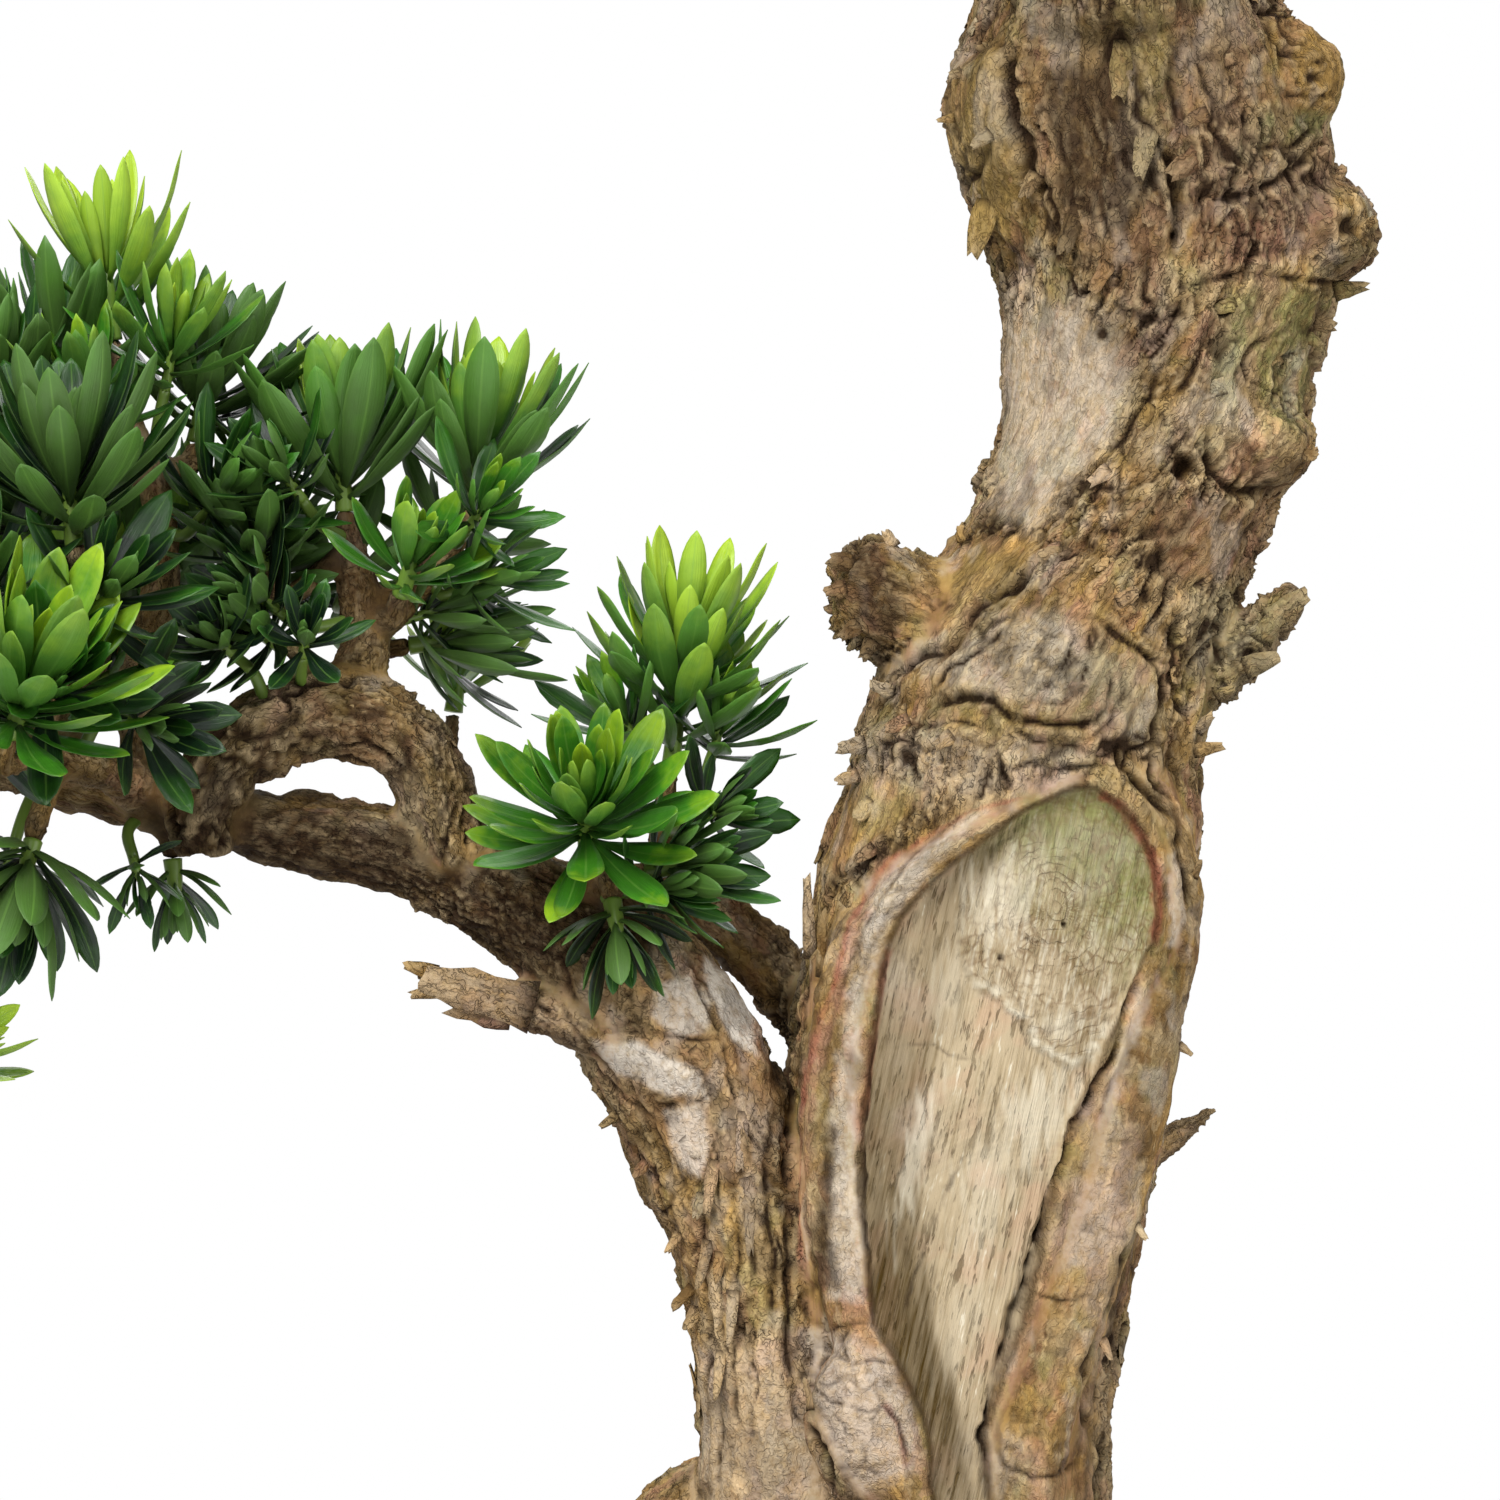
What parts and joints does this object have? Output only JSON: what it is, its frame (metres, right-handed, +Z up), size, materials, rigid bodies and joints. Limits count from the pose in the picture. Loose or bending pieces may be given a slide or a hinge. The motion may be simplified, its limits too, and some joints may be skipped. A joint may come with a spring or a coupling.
{
  "type": "buddhist pine bonsai",
  "caption": "Buddhist pine bonsai with a thick trunk, a healed pruning wound and leafy shoots, standing in a plain oval footed pot.",
  "frame": {"origin": "on the surface that the pot's feet stand on, below the middle of the box round the tree and its pot", "axes": "+Z up, the front with the healed wound faces -Y, the low limb reaches towards -X"},
  "size_m": [0.4966, 0.2448, 0.645],
  "materials": {
    "stoneware": "unglazed stoneware",
    "soil": "granular soil",
    "bark": "bark and bare wood",
    "leaf": "waxy leaf"
  },
  "bodies": {
    "root": {"pot": "stoneware", "shoot_apex_back_1": "leaf", "shoot_apex_back_2": "leaf", "shoot_apex_left_1": "leaf", "shoot_apex_left_2": "leaf", "shoot_apex_right_1": "leaf", "shoot_apex_right_2": "leaf", "shoot_apex_top_1": "leaf", "shoot_back_1": "leaf", "shoot_back_2": "leaf", "shoot_back_3": "leaf", "shoot_back_4": "leaf", "shoot_behind_limb": "leaf", "shoot_drop_end": "leaf", "shoot_front_1": "leaf", "shoot_front_2": "leaf", "shoot_front_low": "leaf", "shoot_front_rosette": "leaf", "shoot_front_side": "leaf", "shoot_left_1": "leaf", "shoot_left_2": "leaf", "shoot_left_3": "leaf", "shoot_left_4": "leaf", "shoot_left_5": "leaf", "shoot_left_6": "leaf", "shoot_left_back_1": "leaf", "shoot_left_back_2": "leaf", "shoot_left_back_3": "leaf", "shoot_left_bright": "leaf", "shoot_left_dark": "leaf", "shoot_left_edge": "leaf", "shoot_left_hanging": "leaf", "shoot_left_low": "leaf", "shoot_left_mid": "leaf", "shoot_right_1": "leaf", "shoot_right_2": "leaf", "shoot_right_3": "leaf", "shoot_right_4": "leaf", "shoot_right_5": "leaf", "shoot_right_6": "leaf", "shoot_right_7": "leaf", "shoot_right_8": "leaf", "shoot_riser_dark": "leaf", "shoot_riser_front": "leaf", "shoot_riser_left": "leaf", "shoot_riser_low": "leaf", "shoot_riser_right": "leaf", "shoot_riser_top": "leaf", "shoot_strut_top": "leaf", "shoot_top_left": "leaf", "shoot_upper_left_1": "leaf", "shoot_upper_left_2": "leaf", "shoot_upper_left_3": "leaf", "shoot_upper_left_4": "leaf", "shoot_upper_left_5": "leaf", "shoot_upper_left_6": "leaf", "shoot_upper_left_7": "leaf", "soil": "soil", "trunk_and_branches": "bark"}
  },
  "joints": []
}
